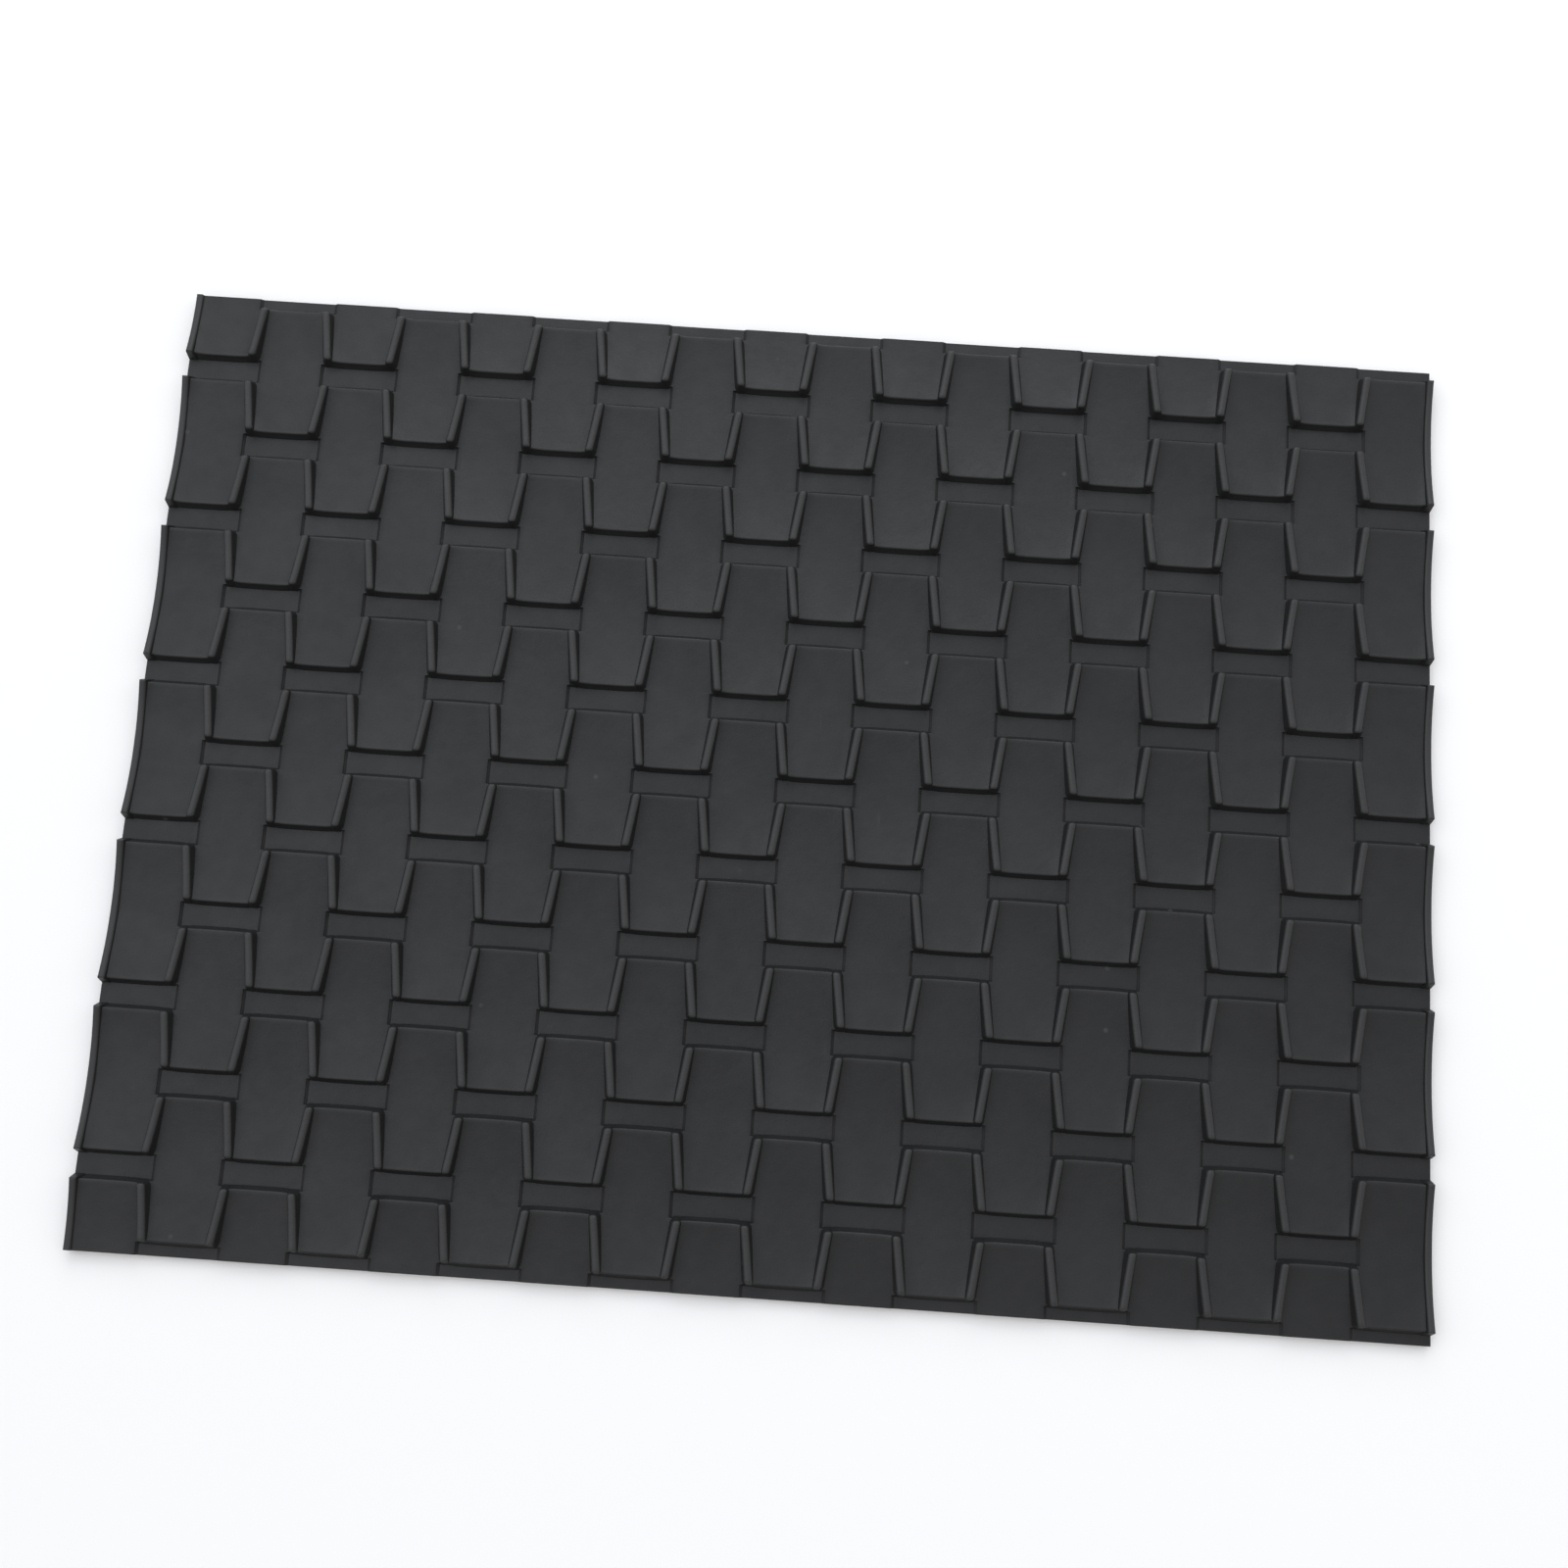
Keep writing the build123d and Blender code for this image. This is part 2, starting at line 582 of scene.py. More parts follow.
@dataclass
class SeamRibs(Relief):
    """The zigzag of slanted ribs along one seam between two columns.

    Attributes:
        base_half: Half of a rib's width at its foot.
        top_half: Half of a rib's width at the start of its rounded top.
        bulge: Power of the rounded top's curve.
        highlight_depth: How far below its crest a rib carries a painted highlight.
        sag: How much lower a rib is at its middle than at its ends.
        seam_lean: How far a rib leans to each side of the column line.
        corner: Radius of a rib's corners, seen from above.
        end_wall: Section of a rib's ends.
    """

    base_half: float = 2.65 * MM
    top_half: float = 1.55 * MM
    bulge: float = 2.4
    highlight_depth: float = 0.9 * MM
    sag: float = 0.35 * MM
    seam_lean: float = 1.4 * MM
    corner: float = 2.2 * MM
    spread: float = 0.7 * MM
    end_wall: Wall = Wall(1.3 * MM, 0.8 * MM)

    def rib(self, seam: int, half_row: int) -> tuple[Array, Array]:
        """Return the grid of one rib.

        Args:
            seam: Its seam.
            half_row: The half row that it stands in.

        Returns:
            Points of the rib's skin, and their painted highlight.
        """
        layout = self.layout
        nominal = layout.pitch_y / 2 - layout.channel_half
        reach = nominal + self.spread
        side = Wall(self.base_half - self.top_half, self.top_half, self.bulge)
        y, _ = self.end_lines(reach, self.end_wall, Cut.WHOLE, np.empty(0))
        upper = self.base_half - side.lines()
        across = np.unique(np.round(np.concatenate([-upper, upper]), LINE_DIGITS))
        xs, ys = np.meshgrid(across, y)
        full = layout.rib_height - self.sag * (1 - (ys / reach) ** 2)
        from_side = self.base_half - np.abs(xs)
        from_end = reach - np.abs(ys)
        distance = corner_distance(from_side, from_end, self.corner)
        z = np.minimum(side.height(distance, full), self.end_wall.height(from_end, full))
        inward = (seam - 1) % 2 == half_row % 2
        lean = self.seam_lean if inward else -self.seam_lean
        shift = np.array([layout.seam_x(seam), layout.row_y(half_row + 0.5), layout.web_top])
        grid = np.stack([xs + lean * ys / nominal, ys, z], axis=-1) + shift
        # Painted highlight: a lighter colour along the rib's rounded crest.
        return grid, crest_highlight(z, full, self.highlight_depth)

    def build(self, seam: int) -> bpy.types.Object:
        """Build and place the ribs of one seam.

        Args:
            seam: Number of the seam, from 1 after the first column.

        Returns:
            The finished piece.
        """
        skin = self.skin()
        for half_row in range(self.layout.half_rows):
            skin.add_patch(*self.rib(seam, half_row))
        piece = skin.to_object(f"rubber_ribs_{seam:02d}")
        place(piece, f"seam_rib_row_{seam:02d}", "rib_rubber", self.material)
        return piece


@dataclass
class OuterLip(Relief):
    """The lip along one outer side, which follows the upturned ends of the lugs there.

    Attributes:
        middle_height: Height of the lip beside a lug's middle.
        bend: Power with which the lip turns up towards a lug's ends.
        inner_run: How far the inner wall runs, seen from above.
        inner_spread: How far the foot of the inner wall stands past the nominal lip.
        edge_radius: Radius of the outer top edge.
        inner_radius: Radius of the inner top edge.
        end_wall: Section of the lip's ends.
        highlight_depth: How far below its crest the lip carries a painted highlight.
    """

    middle_height: float = 1.7 * MM
    bend: float = 2.1
    inner_run: float = 1.1 * MM
    inner_spread: float = 0.9 * MM
    edge_radius: float = 0.4 * MM
    inner_radius: float = 1.1 * MM
    end_wall: Wall = Wall(1.3 * MM, 0.7 * MM)
    highlight_depth: float = 0.6 * MM

    def lip(self, side: Side, column: int, row: int) -> tuple[Array, Array]:
        """Return the grid of the lip beside one lug.

        Args:
            side: The side of the mat.
            column: The outer column on that side; not used.
            row: The half-row line that the lug is centred on.

        Returns:
            Points of the lip's skin, and their painted highlight.
        """
        layout = self.layout
        width = layout.lip_width + self.inner_spread
        inner = Wall(self.inner_run, self.inner_radius)
        edge = self.edge_radius * (1 - np.cos(np.linspace(0, math.pi / 2, EDGE_LINES)))
        from_edge = np.concatenate([[0.0], edge, width - inner.lines()[::-1]])
        reach = layout.lug_half + self.spread
        y, foot = self.end_lines(reach, self.end_wall, layout.cut_of(row), np.empty(0))
        outs, ys = np.meshgrid(from_edge, y)
        along = np.minimum(np.abs(ys) / layout.lug_half, 1) ** self.bend
        full = self.middle_height + (layout.rib_height - self.middle_height) * along
        down = np.clip(self.edge_radius - outs, 0, self.edge_radius)
        rounding = self.edge_radius - np.sqrt(np.maximum(self.edge_radius**2 - down**2, 0))
        z = np.minimum(inner.height(width - outs, full), full - rounding)
        z = np.minimum(z, self.end_wall.height(reach - np.abs(ys), full))
        z[foot] = -self.sunk
        x = side.value * (layout.width / 2 - self.inset - outs)
        grid = np.stack([x, ys + layout.row_y(row), z + layout.web_top], axis=-1)
        # Painted highlight: a lighter colour along the lip's crest.
        painted_light_mark = crest_highlight(z, full, self.highlight_depth)
        if side is Side.RIGHT:
            return grid[:, ::-1], painted_light_mark[:, ::-1]
        return grid, painted_light_mark

    def build(self, side: Side) -> bpy.types.Object:
        """Build and place the lip of one outer side.

        Args:
            side: The side of the mat.

        Returns:
            The finished piece.
        """
        column = 0 if side is Side.LEFT else self.layout.columns - 1
        skin = self.skin()
        for row in self.layout.lug_rows(column):
            skin.add_patch(*self.lip(side, column, row))
        name = side.name.lower()
        piece = skin.to_object(f"rubber_lip_{name}")
        place(piece, f"outer_lip_{name}", "lip_rubber", self.material)
        return piece


@dataclass
class Web:
    """The flat sheet that carries the relief.

    Attributes:
        layout: Places of the pattern.
        material: Finish of the web.
        bottom_radius: Radius of its lower edges.
        mesh_step: Distance between its mesh lines.
    """

    layout: Layout
    material: bpy.types.Material
    bottom_radius: float = 0.5 * MM
    mesh_step: float = 6.0 * MM

    def section(self) -> list[tuple[float, float]]:
        """Work out the section of the outer wall.

        Returns:
            How far in and how high its rings lie, from the top down.
        """
        top = self.layout.web_top
        radius = self.bottom_radius
        rings = [(0.0, top), (0.0, top * 0.5)]
        for angle in np.linspace(0, math.pi / 2, EDGE_LINES):
            rings.append((radius * (1 - math.cos(angle)), radius * (1 - math.sin(angle))))
        return rings

    def sheet(
        self, points: list[Point], faces: list[Face], inset: float, z: float, upwards: bool
    ) -> list[int]:
        """Add a flat grid of points and faces to the web's mesh.

        Args:
            points: Points so far, which grow.
            faces: Faces so far, which grow.
            inset: How far inside the outline the grid ends.
            z: Height of the grid.
            upwards: Whether its faces look up, not down.

        Returns:
            Numbers of the points on the grid's border.
        """
        half_x, half_y = self.layout.width / 2 - inset, self.layout.length / 2 - inset
        columns = int(round(self.layout.width / self.mesh_step))
        rows = int(round(self.layout.length / self.mesh_step))
        start = len(points)
        xs = np.linspace(-half_x, half_x, columns + 1)
        for y in np.linspace(-half_y, half_y, rows + 1):
            points.extend((float(x), float(y), z) for x in xs)
        index = np.arange(start, len(points)).reshape(rows + 1, columns + 1)
        for near, far in zip(index, index[1:]):
            for quad in zip(near, near[1:], far[1:], far):
                faces.append(tuple(int(number) for number in (quad if upwards else quad[::-1])))
        return border_of(index)

    def build(self) -> bpy.types.Object:
        """Build and place the web.

        Returns:
            The finished piece.
        """
        points: list[Point] = []
        faces: list[Face] = []
        (top_inset, top_z), *middle, (bottom_inset, bottom_z) = self.section()
        top = self.sheet(points, faces, top_inset, top_z, True)
        bottom = self.sheet(points, faces, bottom_inset, bottom_z, False)
        rings = [top]
        for inset, z in middle:
            share_x = 1 - 2 * inset / self.layout.width
            share_y = 1 - 2 * inset / self.layout.length
            start = len(points)
            points.extend((points[i][0] * share_x, points[i][1] * share_y, z) for i in top)
            rings.append(list(range(start, len(points))))
        rings.append(bottom)
        for upper, lower in zip(rings, rings[1:]):
            for i, j in zip(range(len(upper)), [*range(1, len(upper)), 0]):
                faces.append((upper[i], lower[i], lower[j], upper[j]))
        mesh = bpy.data.meshes.new("rubber_web")
        mesh.from_pydata(points, [], faces)
        piece = smooth_piece("rubber_web", mesh)
        place(piece, "web_sheet", "web_rubber", self.material)
        return piece


# --- Finishes ---


@dataclass(frozen=True)
class Clouds:
    """A cloudy texture that varies between 0 and 1.

    Attributes:
        scale: How many clouds lie on a metre.
        detail: Number of finer layers.
        rough: Strength of each finer layer.
    """

    scale: float
    detail: float = 3.0
    rough: float = 0.5


@dataclass
class Graph:
    """A short way to write the nodes of a material or a world.

    Attributes:
        owner: The material or world that holds the nodes.
    """

    owner: bpy.types.Material | bpy.types.World

    def node(self, kind: str, **values: object) -> bpy.types.Node:
        """Add a node and set its properties and unlinked inputs.

        Args:
            kind: Type name of the node.
            **values: Properties by name, and inputs by name with an "in_" in front.

        Returns:
            The new node.
        """
        node = self.owner.node_tree.nodes.new(kind)
        for name, value in values.items():
            if name.startswith("in_"):
                node.inputs[name[3:].replace("_", " ")].default_value = value
            else:
                setattr(node, name, value)
        return node

    def link(self, source: bpy.types.NodeSocket, target: bpy.types.NodeSocket) -> None:
        """Link an output to an input."""
        self.owner.node_tree.links.new(source, target)

    def step(
        self, source: bpy.types.NodeSocket, band: tuple[float, float], falling: bool = False
    ) -> bpy.types.NodeSocket:
        """Turn a value into one that goes from 0 to 1 over a band.

        Args:
            source: The value.
            band: Where the step starts and ends.
            falling: Whether it goes from 1 to 0 instead.

        Returns:
            The new value.
        """
        node = self.node("ShaderNodeValToRGB")
        greys = (1.0, 0.0) if falling else (0.0, 1.0)
        for element, position, grey in zip(node.color_ramp.elements, band, greys):
            element.position = position
            element.color = (grey, grey, grey, 1)
        self.link(source, node.inputs["Fac"])
        return node.outputs["Color"]

    def clouds(self, place_of: bpy.types.NodeSocket, kind: Clouds) -> bpy.types.NodeSocket:
        """Add a cloudy texture.

        Args:
            place_of: The coordinates that it is laid out in.
            kind: Its scale and detail.

        Returns:
            Its value.
        """
        sizes = {"in_Scale": kind.scale, "in_Detail": kind.detail, "in_Roughness": kind.rough}
        node = self.node("ShaderNodeTexNoise", **sizes)
        self.link(place_of, node.inputs["Vector"])
        return node.outputs["Fac"]

    def mix(
        self,
        factor: bpy.types.NodeSocket,
        first: bpy.types.NodeSocket | Paint,
        second: bpy.types.NodeSocket | Paint,
    ) -> bpy.types.NodeSocket:
        """Mix two colours by a factor.

        Args:
            factor: Share of the second colour.
            first: A colour or a socket.
            second: A colour or a socket.

        Returns:
            The mixed colour.
        """
        node = self.node("ShaderNodeMix", data_type="RGBA")
        self.link(factor, node.inputs[0])
        for value, target in ((first, node.inputs[6]), (second, node.inputs[7])):
            if isinstance(value, tuple):
                target.default_value = value
            else:
                self.link(value, target)
        return node.outputs[2]

    def math(
        self,
        operation: str,
        first: bpy.types.NodeSocket,
        second: bpy.types.NodeSocket | float,
    ) -> bpy.types.NodeSocket:
        """Do arithmetic on a value.

        Args:
            operation: Name of the operation.
            first: The value.
            second: A number or a value.

        Returns:
            The result.
        """
        node = self.node("ShaderNodeMath", operation=operation)
        self.link(first, node.inputs[0])
        if isinstance(second, float):
            node.inputs[1].default_value = second
        else:
            self.link(second, node.inputs[1])
        return node.outputs[0]


@dataclass(frozen=True)
class RubberFinish:
    """Dark moulded rubber with a fine grain, faint bloom, scuffs and dust, painted highlights on
    crests and edges, and painted shade along the lug waists.

    Attributes:
        name: Name of the material.
        base: Colour of the clean rubber.
        bloom: Colour where the rubber has a faint bloom.
        painted_light_mark: Colour of the painted highlight on the edges of lug ends and on crests.
        painted_shade: Colour of the painted shade along the lug waists.
        roughness: Usual roughness.
        smoothing: How much smoother the bloomed patches are.
        sheen: Strength of the reflection.
        grain_depth: Depth of the moulded grain.
        grain: The finest grain.
        pores: The coarser unevenness under it.
        pore_share: How much deeper that is than the finest grain.
        patches: The wide bloomed patches.
        patch_band: Where they set in.
        patch_share: How strong they are.
        mottle: The small bloomed patches.
        mottle_band: Where they set in.
        mottle_share: How strong they are.
        scuff_colour: Colour of a scuff.
        scuffs: Strength of the light scuffs.
        scuff_lines: The stretched texture that they come from.
        scuff_stretch: How that is stretched.
        scuff_turn: How it is turned, in radians.
        scuff_band: Where a scuff sets in.
        scuff_zones: The parts of the mat that are scuffed.
        scuff_zone_band: Where those set in.
        dust_colour: Colour of a speck of dust.
        dust: Strength of the dust specks.
        dust_roughness: How much rougher a speck is.
        dust_cells: How many places for a speck lie on a metre.
        dust_rarity: Which of those places hold a speck.
        dust_size: Where a speck ends, as a share of its place.
        painted_shade_roughness: How much rougher the painted shade line is.
    """

    name: str
    base: Paint = (0.0092, 0.0093, 0.0095, 1)
    bloom: Paint = (0.0150, 0.0152, 0.0155, 1)
    painted_light_mark: Paint = (0.0255, 0.0255, 0.0255, 1)
    painted_shade: Paint = (0.0010, 0.0010, 0.0010, 1)
    roughness: float = 0.48
    smoothing: float = 0.11
    sheen: float = 0.36
    grain_depth: float = 0.055 * MM
    grain: Clouds = Clouds(2600.0, 2.0)
    pores: Clouds = Clouds(420.0)
    pore_share: float = 1.6
    patches: Clouds = Clouds(18.0, 5.0, 0.6)
    patch_band: tuple[float, float] = (0.38, 0.66)
    patch_share: float = 0.5
    mottle: Clouds = Clouds(150.0, 5.0, 0.6)
    mottle_band: tuple[float, float] = (0.36, 0.66)
    mottle_share: float = 0.4
    scuff_colour: Paint = (0.05, 0.05, 0.05, 1)
    scuffs: float = 0.25
    scuff_lines: Clouds = Clouds(420.0, 2.0)
    scuff_stretch: tuple[float, float, float] = (1.0, 0.12, 1.0)
    scuff_turn: float = 0.5
    scuff_band: tuple[float, float] = (0.70, 0.78)
    scuff_zones: Clouds = Clouds(35.0, 2.0)
    scuff_zone_band: tuple[float, float] = (0.55, 0.70)
    dust_colour: Paint = (0.06, 0.058, 0.055, 1)
    dust: float = 0.6
    dust_roughness: float = 0.3
    dust_cells: float = 95.0
    dust_rarity: tuple[float, float] = (0.90, 0.93)
    dust_size: tuple[float, float] = (0.04, 0.10)
    painted_shade_roughness: float = 0.5

    def material(self) -> bpy.types.Material:
        """Make the material.

        Returns:
            The node-based material.
        """
        material = bpy.data.materials.new(self.name)
        material.use_nodes = True
        graph = Graph(material)
        shader = material.node_tree.nodes["Principled BSDF"]
        place_of = graph.node("ShaderNodeTexCoord").outputs["Object"]
        bloomed = self.bloomed(graph, place_of)
        speck = self.speck(graph, place_of)
        # The point attribute holds painted light: above 0 a painted highlight, below 0 a painted
        # shade.
        painted_light = graph.node("ShaderNodeAttribute", attribute_name=PAINTED_LIGHT).outputs["Fac"]
        painted_light_mark = graph.math("MAXIMUM", painted_light, 0.0)
        painted_shade_share = graph.math("MAXIMUM", graph.math("MULTIPLY", painted_light, -1.0), 0.0)

        colour = graph.mix(bloomed, self.base, self.bloom)
        # Painted highlight on crests and lug-end edges, then painted shade along the lug waists.
        colour = graph.mix(painted_light_mark, colour, self.painted_light_mark)
        colour = graph.mix(painted_shade_share, colour, self.painted_shade)
        colour = graph.mix(self.scuff(graph, place_of), colour, self.scuff_colour)
        colour = graph.mix(speck, colour, self.dust_colour)
        graph.link(colour, shader.inputs["Base Color"])

        rough = graph.math("MULTIPLY", bloomed, -self.smoothing)
        rough = graph.math("ADD", rough, self.roughness + 0.5 * self.smoothing)
        rough = graph.math("ADD", rough, graph.math("MULTIPLY", speck, self.dust_roughness))
        rough = graph.math("ADD", rough, graph.math("MULTIPLY", painted_shade_share, self.painted_shade_roughness))
        graph.link(rough, shader.inputs["Roughness"])
        shader.inputs["Specular IOR Level"].default_value = self.sheen

        pores = graph.math("MULTIPLY", graph.clouds(place_of, self.pores), self.pore_share)
        relief = graph.math("ADD", graph.clouds(place_of, self.grain), pores)
        bump = graph.node("ShaderNodeBump", in_Strength=1.0, in_Distance=self.grain_depth)
        graph.link(relief, bump.inputs["Height"])
        graph.link(bump.outputs["Normal"], shader.inputs["Normal"])
        return material

    def bloomed(self, graph: Graph, place_of: bpy.types.NodeSocket) -> bpy.types.NodeSocket:
        """Add the patches of bloom.

        Args:
            graph: The material's nodes.
            place_of: The piece's own coordinates.

        Returns:
            How much each place has bloomed.
        """
        wide = graph.step(graph.clouds(place_of, self.patches), self.patch_band)
        small = graph.step(graph.clouds(place_of, self.mottle), self.mottle_band)
        wide = graph.math("MULTIPLY", wide, self.patch_share)
        return graph.math("ADD", wide, graph.math("MULTIPLY", small, self.mottle_share))

    def scuff(self, graph: Graph, place_of: bpy.types.NodeSocket) -> bpy.types.NodeSocket:
        """Add the scuffs: short light streaks in a few zones.

        Args:
            graph: The material's nodes.
            place_of: The piece's own coordinates.

        Returns:
            How much each place is scuffed.
        """
        stretch = graph.node("ShaderNodeMapping")
        stretch.inputs["Scale"].default_value = self.scuff_stretch
        stretch.inputs["Rotation"].default_value = (0, 0, self.scuff_turn)
        graph.link(place_of, stretch.inputs["Vector"])
        lines = graph.clouds(stretch.outputs["Vector"], self.scuff_lines)
        zones = graph.step(graph.clouds(place_of, self.scuff_zones), self.scuff_zone_band)
        scratch = graph.math("MULTIPLY", graph.step(lines, self.scuff_band), zones)
        return graph.math("MULTIPLY", scratch, self.scuffs)

    def speck(self, graph: Graph, place_of: bpy.types.NodeSocket) -> bpy.types.NodeSocket:
        """Add the specks of dust.

        Args:
            graph: The material's nodes.
            place_of: The piece's own coordinates.

        Returns:
            How much dust lies on each place.
        """
        cells = graph.node("ShaderNodeTexVoronoi", feature="F1", in_Scale=self.dust_cells)
        graph.link(place_of, cells.inputs["Vector"])
        chosen = graph.node("ShaderNodeSeparateColor")
        graph.link(cells.outputs["Color"], chosen.inputs["Color"])
        rare = graph.step(chosen.outputs["Red"], self.dust_rarity)
        small = graph.step(cells.outputs["Distance"], self.dust_size, falling=True)
        return graph.math("MULTIPLY", graph.math("MULTIPLY", rare, small), self.dust)


@dataclass(frozen=True)
class FloorFinish:
    """Plain pale studio floor.

    Attributes:
        name: Name of the material.
        colour: Its colour.
        roughness: Its roughness.
    """

    name: str = "studio_floor"
    colour: Paint = (0.935, 0.922, 0.905, 1)
    roughness: float = 0.8

    def material(self) -> bpy.types.Material:
        """Make the material.

        Returns:
            The plain material.
        """
        material = bpy.data.materials.new(self.name)
        material.use_nodes = True
        shader = material.node_tree.nodes["Principled BSDF"]
        shader.inputs["Base Color"].default_value = self.colour
        shader.inputs["Roughness"].default_value = self.roughness
        return material


# --- Studio ---


@dataclass(frozen=True)
class SoftLight:
    """A square area light that looks at the middle of the mat.

    Attributes:
        name: Its name.
        place: Where it stands.
        size: Length of its sides.
        power: Its power in watts.
        colour: Its colour.
    """

    name: str
    place: Point
    size: float
    power: float
    colour: Colour = (1.0, 1.0, 1.0)

    def build(self) -> bpy.types.Object:
        """Add the light to the scene.

        Returns:
            The light's object.
        """
        light = bpy.data.lights.new(self.name, "AREA")
        light.size = self.size
        light.energy = self.power
        light.color = self.colour
        lamp = bpy.data.objects.new(self.name, light)
        lamp.location = self.place
        lamp.rotation_euler = (-Vector(self.place)).to_track_quat("-Z", "Y").to_euler()
        bpy.context.scene.collection.objects.link(lamp)
        return lamp


@dataclass(frozen=True)
class Glow:
    """A soft bright part of the ceiling.

    Attributes:
        towards: Direction of its middle.
        strength: Its brightness there.
        focus: Power with which it falls off around that direction.
        colour: Its colour.
    """

    towards: Point
    strength: float
    focus: float = 9.0
    colour: Colour = (1.0, 1.0, 1.0)


@dataclass(frozen=True)
class Studio:
    """Floor, lights and background.

    Attributes:
        floor_size: Side of the square floor.
        ambient: Strength of the even light from all around.
        horizon: How much brighter the background is at the horizon.
        horizon_focus: Power with which that fades upwards.
        glows: The bright parts of the ceiling.
        lights: The area lights.
    """

    floor_size: float = 60.0
    ambient: float = 0.54
    horizon: float = 0.42
    horizon_focus: float = 10.0
    glows: tuple[Glow, ...] = (
        Glow((-0.5, 0.45, 1.0), 1.25, 9.0, (0.91, 0.99, 1.16)),
        Glow((0.45, 0.5, 1.0), 0.38, 9.0, (0.93, 1.0, 1.15)),
        Glow((-0.6, -0.05, 1.0), 0.65),
    )
    lights: tuple[SoftLight, ...] = (
        SoftLight("far_light", (0.0, 1.5, 0.9), 1.2, 10.5, (0.96, 0.99, 1.0)),
        SoftLight("left_light", (-1.5, 0.5, 0.9), 1.2, 1.2),
        SoftLight("right_light", (1.5, 0.5, 0.9), 1.2, 2.8),
    )

    def build(self) -> None:
        """Add the floor, the lights and the background to the scene."""
        half = self.floor_size / 2
        mesh = bpy.data.meshes.new("studio_floor")
        corners = [(-half, -half, 0), (half, -half, 0), (half, half, 0), (-half, half, 0)]
        mesh.from_pydata(corners, [], [tuple(range(len(corners)))])
        mesh.materials.append(FloorFinish().material())
        floor = bpy.data.objects.new("studio_floor", mesh)
        bpy.context.scene.collection.objects.link(floor)
        for light in self.lights:
            light.build()
        bpy.context.scene.world = self.world()
        bpy.context.scene.view_settings.view_transform = "Standard"
        bpy.context.scene.view_settings.look = "None"

    def world(self) -> bpy.types.World:
        """Make the background.

        Returns:
            A world that is even but for its horizon and the bright parts of its ceiling.
        """
        world = bpy.data.worlds.new("studio_world")
        world.use_nodes = True
        graph = Graph(world)
        direction = graph.node("ShaderNodeTexCoord").outputs["Generated"]
        total = self.even_light(graph, direction)
        for glow in self.glows:
            total = self.with_glow(graph, direction, total, glow)
        graph.link(total, world.node_tree.nodes["Background"].inputs["Color"])
        return world

    def even_light(self, graph: Graph, direction: bpy.types.NodeSocket) -> bpy.types.NodeSocket:
        """Add the light that is the same all round, and brighter at the horizon.

        Args:
            graph: The world's nodes.
            direction: The direction of the light.

        Returns:
            Its colour.
        """
        height = graph.node("ShaderNodeSeparateXYZ")
        graph.link(direction, height.inputs["Vector"])
        below = graph.math("ADD", graph.math("MULTIPLY", height.outputs["Z"], -1.0), 1.0)
        band = graph.math("POWER", graph.math("MAXIMUM", below, 0.0), self.horizon_focus)
        band = graph.math("MULTIPLY", graph.math("MINIMUM", band, 1.0), self.horizon)
        level = graph.math("ADD", band, self.ambient)
        even = graph.node("ShaderNodeCombineXYZ")
        for axis in ("X", "Y", "Z"):
            graph.link(level, even.inputs[axis])
        return even.outputs["Vector"]

    def with_glow(
        self,
        graph: Graph,
        direction: bpy.types.NodeSocket,
        total: bpy.types.NodeSocket,
        glow: Glow,
    ) -> bpy.types.NodeSocket:
        """Add one bright part of the ceiling.

        Args:
            graph: The world's nodes.
            direction: The direction of the light.
            total: The colour of the light so far.
            glow: The bright part.

        Returns:
            The colour of the light with it.
        """
        facing = graph.node("ShaderNodeVectorMath", operation="DOT_PRODUCT")
        graph.link(direction, facing.inputs[0])
        facing.inputs[1].default_value = Vector(glow.towards).normalized()
        lobe = graph.math("MAXIMUM", facing.outputs["Value"], 0.0)
        lobe = graph.math("MULTIPLY", graph.math("POWER", lobe, glow.focus), glow.strength)
        coloured = graph.node("ShaderNodeVectorMath", operation="SCALE")
        coloured.inputs[0].default_value = glow.colour
        graph.link(lobe, coloured.inputs["Scale"])
        both = graph.node("ShaderNodeVectorMath", operation="ADD")
        graph.link(total, both.inputs[0])
        graph.link(coloured.outputs[0], both.inputs[1])
        return both.outputs[0]


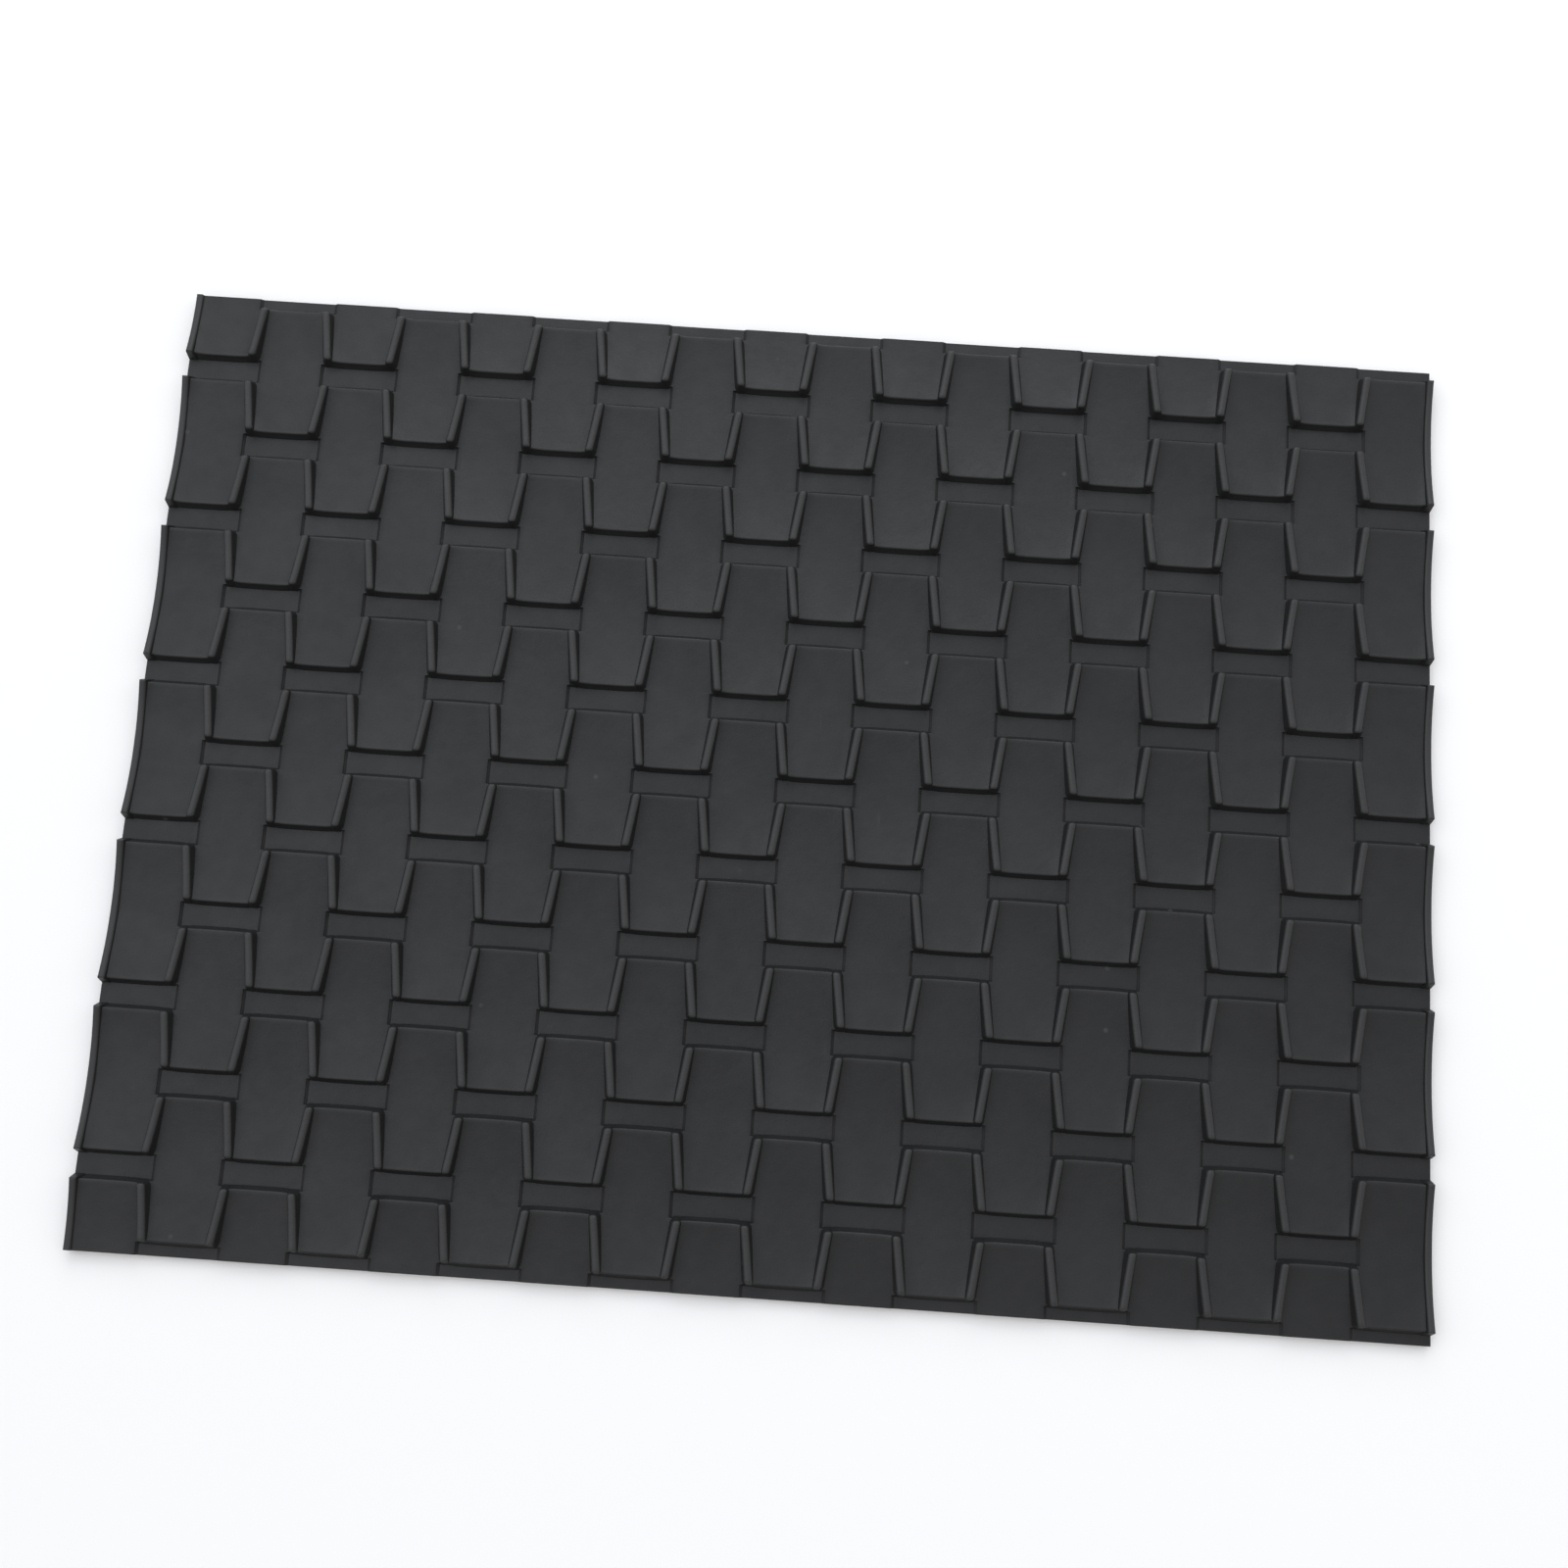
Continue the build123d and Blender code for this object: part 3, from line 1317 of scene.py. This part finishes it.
@dataclass(frozen=True)
class MatCamera:
    """A camera that looks down on the mat.

    Attributes:
        aim: Point that it looks at.
        distance: Distance to that point.
        elevation: Angle of its view above the floor, in degrees.
        azimuth: How far it stands round to the right of the near side, in degrees.
        roll: Turn about its own line of sight, in degrees.
        lens: Focal length in millimetres.
        sensor: Width of the sensor in millimetres.
        near: Nearest distance that it sees.
    """

    aim: Point = (0.0016, 0.0026, 0.003)
    distance: float = 0.578
    elevation: float = 79.7
    azimuth: float = 4.47
    roll: float = -0.58
    lens: float = 38.25
    sensor: float = 36.0
    near: float = 0.01

    def build(self) -> bpy.types.Object:
        """Add the camera and make it the scene's own.

        Returns:
            The camera object.
        """
        data = bpy.data.cameras.new("mat_camera")
        data.lens = self.lens
        data.sensor_width = self.sensor
        data.clip_start = self.near
        camera = bpy.data.objects.new("mat_camera", data)
        tilt = math.radians(self.elevation)
        turn = math.radians(self.azimuth)
        across, forth = math.sin(turn) * math.cos(tilt), math.cos(turn) * math.cos(tilt)
        back = Vector((across, -forth, math.sin(tilt)))
        stand = Matrix.Translation(Vector(self.aim) + back * self.distance)
        sight = (-back).to_track_quat("-Z", "Y").to_matrix().to_4x4()
        spin = Matrix.Rotation(math.radians(self.roll), 4, "Z")
        camera.matrix_world = stand @ sight @ spin
        bpy.context.scene.collection.objects.link(camera)
        bpy.context.scene.camera = camera
        return camera


# --- Scene ---


def main() -> None:
    """Build the mat around its frame, then the studio."""
    logging.basicConfig(level=logging.INFO, format="%(name)s: %(message)s")
    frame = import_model()
    layout = Layout.from_frame(frame["nodes"])
    LOG.info("columns %d, pitch %.4f by %.4f", layout.columns, layout.pitch_x, layout.pitch_y)

    Web(layout, RubberFinish("web_rubber").material()).build()
    lugs = LugColumn(layout, RubberFinish("lug_rubber").material())
    for column in range(layout.columns):
        lugs.build(column)
    ribs = SeamRibs(layout, RubberFinish("rib_rubber").material())
    for seam in range(1, layout.columns):
        ribs.build(seam)
    lips = OuterLip(layout, RubberFinish("lip_rubber").material())
    for side in Side:
        lips.build(side)

    MatCamera().build()
    Studio().build()


if __name__ == "__main__":
    main()
